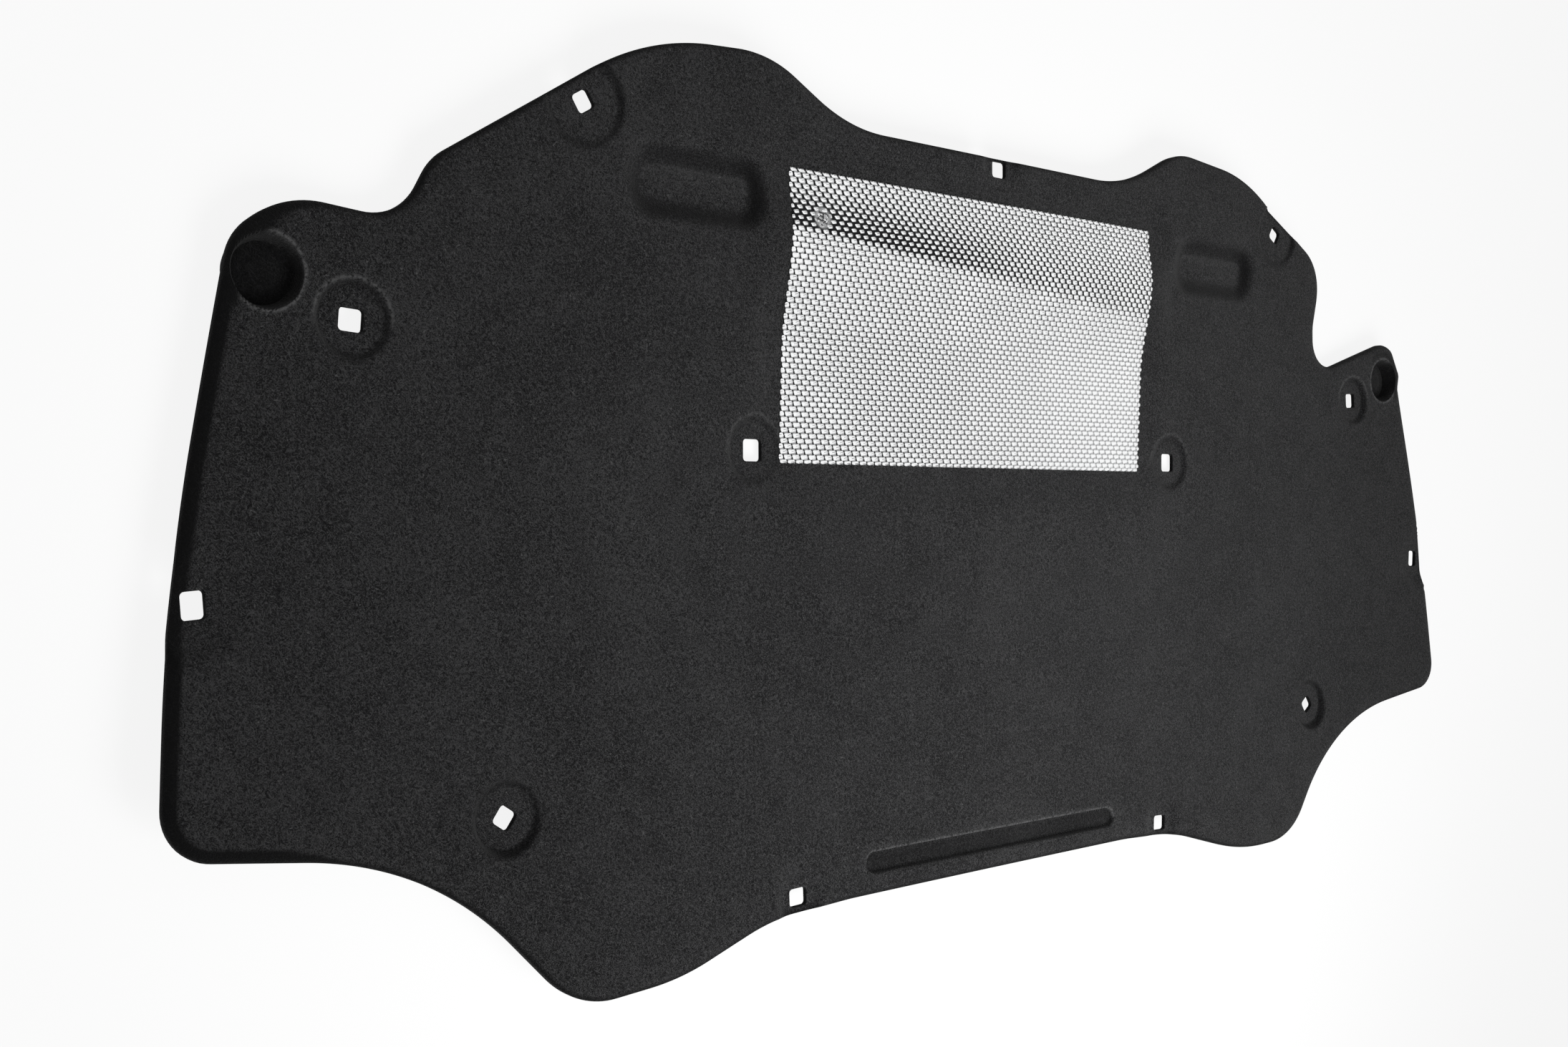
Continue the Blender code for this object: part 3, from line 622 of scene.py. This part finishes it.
def makeFoil(material, outline, shift):
    # u counts bumps across and v counts rows, and the UV map keeps both for the material
    u, v, x, y, base, top = foilSurface(outline)
    faces, shown = foilFaces(top.shape)
    upper = np.column_stack((x.ravel(), y.ravel(), top.ravel()))
    lower = np.column_stack((x[shown], y[shown], base[shown]))
    item = makeObject("embossed_foil", (np.concatenate((upper, lower)) + shift) * mm, faces, material)
    pattern = np.column_stack((np.append(u, u[shown]), np.append(v, v[shown])))
    corner = np.zeros(len(item.data.loops), np.int32)
    item.data.loops.foreach_get("vertex_index", corner)
    layer = item.data.uv_layers.new(name="bumps")
    layer.uv.foreach_set("vector", pattern[corner].astype(np.float32).ravel())
    print("foil:", top.size, "points,", len(faces), "faces")
    return item


def feltUnder(x, y, outline):
    # the felt's front is worked out on a coarse grid and read between its points
    gridX = np.linspace(x.min() - 1, x.max() + 1, 30)
    gridY = np.linspace(y.min() - 1, y.max() + 1, 121)
    grid = np.stack(np.meshgrid(gridX, gridY), axis=-1)
    front = padHeights(grid.reshape(-1, 2), outline)[0].reshape(grid.shape[:2])
    return sampled(front, gridX, gridY, x, y)


def sampled(heights, gridX, gridY, x, y):
    # straight-line blend between the four grid heights round each point
    across = (x - gridX[0]) / (gridX[1] - gridX[0])
    along = (y - gridY[0]) / (gridY[1] - gridY[0])
    i = np.clip(across.astype(int), 0, len(gridX) - 2)
    j = np.clip(along.astype(int), 0, len(gridY) - 2)
    low = mixed(heights[j, i], heights[j, i + 1], across - i)
    high = mixed(heights[j + 1, i], heights[j + 1, i + 1], across - i)
    return mixed(low, high, along - j)


def quadsOf(index):
    # the four corners of each cell in a grid of point numbers
    corners = (index[:-1, :-1], index[:-1, 1:], index[1:, 1:], index[1:, :-1])
    return np.stack(corners, axis=-1).reshape(-1, 4)


# Materials

class Wire:
    # one output of a node; arithmetic on it adds Math nodes to the same material
    def __init__(self, shader, socket):
        self.shader = shader
        self.socket = socket

    def maths(self, operation, *values):
        return self.shader.node("ShaderNodeMath", {"operation": operation}, dict(enumerate(values)))

    def __add__(self, other):
        return self.maths("ADD", self, other)

    __radd__ = __add__

    def __sub__(self, other):
        return self.maths("SUBTRACT", self, other)

    def __rsub__(self, other):
        return self.maths("SUBTRACT", other, self)

    def __mul__(self, other):
        return self.maths("MULTIPLY", self, other)

    __rmul__ = __mul__

    def __truediv__(self, other):
        return self.maths("DIVIDE", self, other)

    def __pow__(self, other):
        return self.maths("POWER", self, other)

    def __mod__(self, other):
        return self.maths("FLOORED_MODULO", self, other)

    def __abs__(self):
        return self.maths("ABSOLUTE", self)

    def step(self, low, high):
        # 0 below low and 1 above high, with a smooth rise between
        settings = {"interpolation_type": "SMOOTHSTEP"}
        values = {"Value": self, "From Min": low, "From Max": high, "To Min": 0.0, "To Max": 1.0}
        return self.shader.node("ShaderNodeMapRange", settings, values)


class Shader:
    # the node tree of a material or world under construction
    def __init__(self, owner, endKind):
        owner.use_nodes = True
        self.owner = owner
        self.tree = owner.node_tree
        self.tree.nodes.clear()
        self.end = self.tree.nodes.new(endKind)

    def node(self, kind, settings, values, output=0):
        made = self.tree.nodes.new(kind)
        for name, value in settings.items():
            setattr(made, name, value)
        for name, value in values.items():
            if isinstance(value, Wire):
                self.tree.links.new(value.socket, made.inputs[name])
            else:
                made.inputs[name].default_value = value
        return Wire(self, made.outputs[output])

    def blend(self, share, first, second):
        # mixes two colours; the colour sockets of a Mix node are numbers 6 and 7, and its result is 2
        settings = {"data_type": "RGBA"}
        return self.node("ShaderNodeMix", settings, {0: share, 6: first, 7: second}, 2)

    def noise(self, place, scale, detail=0.0):
        return self.node("ShaderNodeTexNoise", {}, {"Vector": place, "Scale": scale, "Detail": detail})

    def bump(self, height, look):
        values = {"Strength": look["bumpStrength"], "Distance": look["bumpDepth"], "Height": height}
        return self.node("ShaderNodeBump", {}, values)

    def painted(self, name):
        # a value that the mesh carries at each point
        return self.node("ShaderNodeAttribute", {"attribute_name": name}, {}, "Fac")

    def shownToEye(self):
        # 1 on rays from the camera and on mirrored and refracted ones, 0 on the rays that light things
        camera = self.node("ShaderNodeLightPath", {}, {}, "Is Camera Ray")
        rays = camera.socket.node.outputs
        shown = camera + Wire(self, rays["Is Glossy Ray"]) + Wire(self, rays["Is Transmission Ray"])
        return shown.maths("MINIMUM", shown, 1.0)

    def finish(self, surface):
        self.tree.links.new(surface.socket, self.end.inputs["Surface"])
        return self.owner


def newMaterial(name):
    return Shader(bpy.data.materials.new(name), "ShaderNodeOutputMaterial")


feltLook = {
    "dark": (0.0020, 0.0020, 0.0022, 1.0),
    "pale": (0.0400, 0.0400, 0.0410, 1.0),
    "lint": (0.0900, 0.0900, 0.0900, 1.0),
    "paintedShadeColour": (0.0012, 0.0012, 0.0013, 1.0),    # colour of the painted shade
    # colour of the painted highlights along rims
    "paintedHighlightColour": (0.0900, 0.0900, 0.0910, 1.0),
    "fibreTurns": (8.0, 52.0, 97.0, 128.0, 151.0),   # directions of the fibres in degrees
    "fibreSize": (0.0027, 0.0006, 0.0010),      # metres along, across and through a fibre
    "fibreCut": (0.60, 0.76),       # noise level where a fibre starts to show, and where it is full
    "tone": 0.40,                   # middle tone between dark and pale, and what the rest adds to it
    "fibreTone": (0.75, 0.50),      # light fibres and dark ones
    "grain": (1100.0, 0.90),        # cells per metre and weight
    "cloud": (7.0, 0.30),
    "patch": (38.0, 0.30),
    "lintGrain": 560.0,
    "lintCut": (0.78, 0.84),
    "lintShare": 0.5,
    # noise that breaks up the painted highlights
    "highlightGrain": 420.0,
    "highlightCut": (0.30, 0.56),
    "highlightShare": 0.85,
    "bumpStrength": 0.6,
    "bumpDepth": 0.0007,
    "roughness": 0.95,
    "sheen": 0.06,
    "sheenRoughness": 0.5,
    "specular": 0.1,
}

foilLook = {
    "bright": (0.945, 0.950, 0.955, 1.0),
    # metal painted duller as shade towards a bump's foot, and in random tarnish
    "dull": (0.680, 0.685, 0.690, 1.0),
    # colour of the painted shade and dark reflection in the grooves
    "groove": (0.012, 0.012, 0.013, 1.0),
    "grooveCut": (0.94, 1.03),      # where a bump's foot turns into the groove
    "jointShade": 0.62,             # painted shade and dark reflection of closed joints; open ones are painted fully dark
    "litCornerFade": 0.35,               # how much paler they are painted in the lit corner
    "markShade": 0.85,              # painted dark reflections: short strokes beside the bumps' middles
    "crinkle": 700.0,               # cells per metre
    "tarnish": 30.0,
    "crumple": 420.0,
    "crumpleCut": (0.46, 0.54),
    "bumpStrength": 0.6,
    "bumpDepth": 0.0006,
    "roughness": 0.30,
    "roughnessSpread": 0.15,
}


def feltMaterial():
    # short fibres lie in several directions; the light ones and the dark ones are cut from one noise each
    shader = newMaterial("needledFelt")
    spot = shader.node("ShaderNodeTexCoord", {}, {}, "Object")
    lit, sunk = 0.0, 0.0
    for turn in feltLook["fibreTurns"]:
        lie = {"Vector": spot, "Rotation": (0.0, 0.0, math.radians(turn)), "Scale": feltLook["fibreSize"]}
        fibre = shader.noise(shader.node("ShaderNodeMapping", {"vector_type": "TEXTURE"}, lie), 1.0, 1.0)
        lit = fibre.step(*feltLook["fibreCut"]) + lit
        sunk = (1.0 - fibre).step(*feltLook["fibreCut"]) + sunk
    tone = feltLook["tone"] + lit * feltLook["fibreTone"][0] - sunk * feltLook["fibreTone"][1]
    grain = shader.noise(spot, feltLook["grain"][0], 2.0)
    cloud = shader.noise(spot, feltLook["cloud"][0], 2.0)
    patch = shader.noise(spot, feltLook["patch"][0], 3.0)
    for unevenness, name in ((grain, "grain"), (cloud, "cloud"), (patch, "patch")):
        tone = tone + (unevenness - 0.5) * feltLook[name][1]
    colour = shader.blend(tone.step(0.0, 1.0), feltLook["dark"], feltLook["pale"])
    lint = shader.noise(spot, feltLook["lintGrain"]).step(*feltLook["lintCut"])
    colour = shader.blend(lint * feltLook["lintShare"], colour, feltLook["lint"])
    # painted shade over the rolled edge, recesses, walls and holes
    colour = shader.blend(shader.painted("paintedShade"), colour, feltLook["paintedShadeColour"])
    # painted highlights along rims, broken up by noise
    highlightBreakup = shader.noise(spot, feltLook["highlightGrain"], 1.0).step(*feltLook["highlightCut"])
    colour = shader.blend(shader.painted("paintedHighlight") * highlightBreakup * feltLook["highlightShare"], colour, feltLook["paintedHighlightColour"])
    height = lit * 0.6 - sunk * 0.4 + grain * 0.6 + patch * 0.8
    bump = shader.bump(height, feltLook)
    return shader.finish(shader.node("ShaderNodeBsdfPrincipled", {}, {
        "Base Color": colour, "Roughness": feltLook["roughness"], "Normal": bump,
        "Sheen Weight": feltLook["sheen"], "Sheen Roughness": feltLook["sheenRoughness"],
        "Specular IOR Level": feltLook["specular"],
    }))


def foilMaterial():
    # the bumps' own outlines say where shade and dark reflection are painted on the sheet; the metal is
    # painted duller towards a bump's foot as shade
    shader = newMaterial("embossedAluminium")
    pattern = shader.node("ShaderNodeUVMap", {"uv_map": "bumps"}, {})
    split = shader.node("ShaderNodeSeparateXYZ", {}, {"Vector": pattern})
    u = Wire(shader, split.socket.node.outputs["X"])
    v = Wire(shader, split.socket.node.outputs["Y"])
    share = gapShare(u, v, Wire.step)
    litCorner = paintedLitCorner(u, v, Wire.step)
    across, along = inBump(u, v)
    reach, ends = bumpReach(across, along, share)
    # painted shade and dark reflection in the joints between bumps, paler in the lit corner
    joint = foilLook["jointShade"] + (1.0 - foilLook["jointShade"]) * share.step(0.55, 0.95)
    joint = joint + (1.0 - joint) * ends.step(0.75, 0.95)
    groove = reach.step(*foilLook["grooveCut"]) * joint * (1.0 - foilLook["litCornerFade"] * litCorner)
    # painted dark reflections: short strokes beside the bumps' middles
    darkReflectionStroke = 1.0 - (abs(along - across * 0.2 - 0.1) / 0.22).step(0.6, 1.3)
    darkReflectionStroke = darkReflectionStroke * (1.0 - (abs(across - 0.3) / 1.5).step(0.8, 1.1)) * (1.0 - litCorner) * foilLook["markShade"]
    spot = shader.node("ShaderNodeTexCoord", {}, {}, "Object")
    crinkle = shader.noise(spot, foilLook["crinkle"], 2.0)
    tarnish = shader.noise(spot, foilLook["tarnish"], 2.0)
    dent = dentShare(u, v, Wire.step)
    crumple = shader.noise(spot, foilLook["crumple"], 3.0).step(*foilLook["crumpleCut"])
    # painted shade and dark reflection in the grooves and beside the bumps' middles
    dark = groove.maths("MAXIMUM", groove, darkReflectionStroke * tarnish.step(0.25, 0.55))
    # in the crumpled dent the grooves are painted paler and its crumples get painted dark reflection
    dark = dark * (1.0 - dent * 0.45)
    dark = dark.maths("MAXIMUM", dark, dent * crumple * 0.95)
    # painted shade towards a bump's foot, with random crinkle and tarnish
    shadeAndTarnish = reach.step(0.55, 1.0) * 0.25 + (crinkle - 0.5) * 0.5 + (tarnish - 0.45) * 0.4
    metal = shader.blend(shadeAndTarnish.step(0.0, 1.0), foilLook["bright"], foilLook["dull"])
    colour = shader.blend(dark, metal, foilLook["groove"])
    height = (1.0 - reach.step(0.5, 1.05)) + crinkle * 0.12 - darkReflectionStroke * 0.2 - dent * crumple * 0.3
    roughness = foilLook["roughness"] + (tarnish - 0.5) * foilLook["roughnessSpread"]
    values = {"Base Color": colour, "Metallic": 1.0, "Roughness": roughness}
    values["Normal"] = shader.bump(height, foilLook)
    return shader.finish(shader.node("ShaderNodeBsdfPrincipled", {}, values))


# Studio

studio = {
    "floorSize": 30.0,
    "floorColour": (0.86, 0.86, 0.86, 1.0),
    "floorGlow": 0.88,       # share of plain white in what the eye sees of the floor
    "world": 0.30,
    "keyAt": (0.03, -0.80, 0.95),
    "keyAim": (0.0, 0.04, 0.0),
    "keySize": 0.8,
    "keyPower": 8.8,
    "keySpread": 100.0,      # degrees; the light weakens towards the edge of this cone
}

view = {
    "at": (-0.9198, -0.0041, 0.8785),
    "turn": (-0.1708, -39.1324, -0.2378),   # degrees about X, Y and Z
    "lens": 35.42,
    "sensor": 36.0,
}


def makeFloor():
    # matt, and partly plain white to the eye, so that a soft shadow stays
    shader = newMaterial("studioFloor")
    matt = shader.node("ShaderNodeBsdfDiffuse", {}, {"Color": studio["floorColour"]})
    glow = shader.node("ShaderNodeEmission", {}, {"Color": (1.0, 1.0, 1.0, 1.0), "Strength": 1.0})
    share = shader.shownToEye() * studio["floorGlow"]
    material = shader.finish(shader.node("ShaderNodeMixShader", {}, {0: share, 1: matt, 2: glow}))
    half = studio["floorSize"] / 2
    corners = np.array(((-half, -half, 0.0), (half, -half, 0.0), (half, half, 0.0), (-half, half, 0.0)))
    makeObject("studio_floor", corners, [(0, 1, 2, 3)], material)


def makeWorld():
    # white to the eye and in mirrors, and a plain level of light for everything else
    shader = Shader(bpy.data.worlds.new("studio"), "ShaderNodeOutputWorld")
    strength = studio["world"] + (1.0 - studio["world"]) * shader.shownToEye()
    values = {"Color": (1.0, 1.0, 1.0, 1.0), "Strength": strength}
    bpy.context.scene.world = shader.finish(shader.node("ShaderNodeBackground", {}, values))


def makeKey():
    light = bpy.data.lights.new("key", "AREA")
    light.size = studio["keySize"]
    light.energy = studio["keyPower"]
    light.spread = math.radians(studio["keySpread"])
    item = bpy.data.objects.new("key", light)
    item.location = studio["keyAt"]
    item.visible_glossy = False  # the foil mirrors the plain white world, not the lamp
    aim = Vector(studio["keyAim"]) - Vector(studio["keyAt"])
    item.rotation_euler = aim.to_track_quat("-Z", "Y").to_euler()
    bpy.context.scene.collection.objects.link(item)


def makeCamera():
    camera = bpy.data.cameras.new("camera")
    camera.lens = view["lens"]
    camera.sensor_width = view["sensor"]
    item = bpy.data.objects.new("camera", camera)
    item.location = view["at"]
    item.rotation_euler = Euler([math.radians(angle) for angle in view["turn"]])
    bpy.context.scene.collection.objects.link(item)
    bpy.context.scene.camera = item


felt, outline, shift = makePad(feltMaterial())
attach(felt, "root")
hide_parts("felt_pad")

sheet = makeFoil(foilMaterial(), outline, shift)
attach(sheet, "root")
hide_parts("foil_reflector")

makeFloor()
makeWorld()
makeKey()
makeCamera()
bpy.context.scene.view_settings.view_transform = "Standard"
print("studio: ready")
